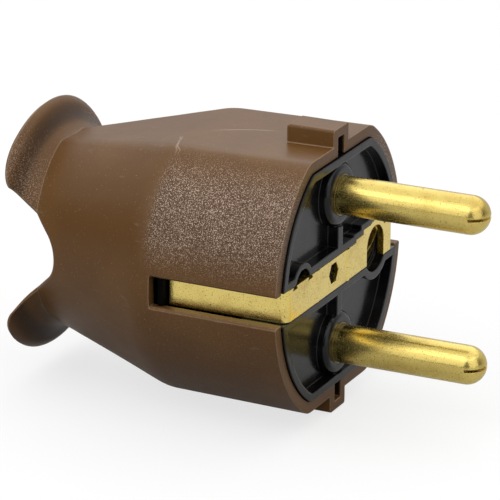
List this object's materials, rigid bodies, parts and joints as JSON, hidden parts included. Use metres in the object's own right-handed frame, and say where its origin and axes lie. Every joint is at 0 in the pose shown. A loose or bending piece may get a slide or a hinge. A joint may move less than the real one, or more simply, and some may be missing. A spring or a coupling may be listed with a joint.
{
  "type": "straight plug",
  "caption": "Rewireable straight mains plug with round pins, side earth strip, earth socket and a winged housing with a cable hole at the rear.",
  "frame": {"origin": "centre of the plug's engagement face: on the front rim's plane, midway between the two pins", "axes": "+X along the pins towards their tips; +Z along the line of the two pins, from the neutral pin to the line pin; +Y across, towards the earth socket"},
  "size_m": [0.0593, 0.036, 0.0362],
  "materials": {
    "housing_brown": "brown moulded thermoplastic, smooth satin with fine sparked texture on the sides",
    "carrier_black": "black moulded thermoset, glossy",
    "brass": "bright brass, fine turning and stamping marks",
    "steel": "zinc-plated steel"
  },
  "bodies": {
    "root": {"housing": "housing_brown", "contact_carrier": "carrier_black", "terminal_block": "carrier_black", "line_pin": "brass", "neutral_pin": "brass", "earth_strip": "brass", "earth_socket_sleeve": "brass", "line_terminal_screw": "steel", "neutral_terminal_screw": "steel", "earth_terminal_screw": "steel", "earth_terminal_washer": "brass", "earth_terminal_nut": "brass", "retainer_screw_left": "steel", "retainer_screw_right": "steel", "cord_clamp_bar": "steel", "cord_clamp_screw_left": "steel", "cord_clamp_screw_right": "steel", "cord_clamp_nut_left": "steel", "cord_clamp_nut_right": "steel"}
  },
  "joints": []
}
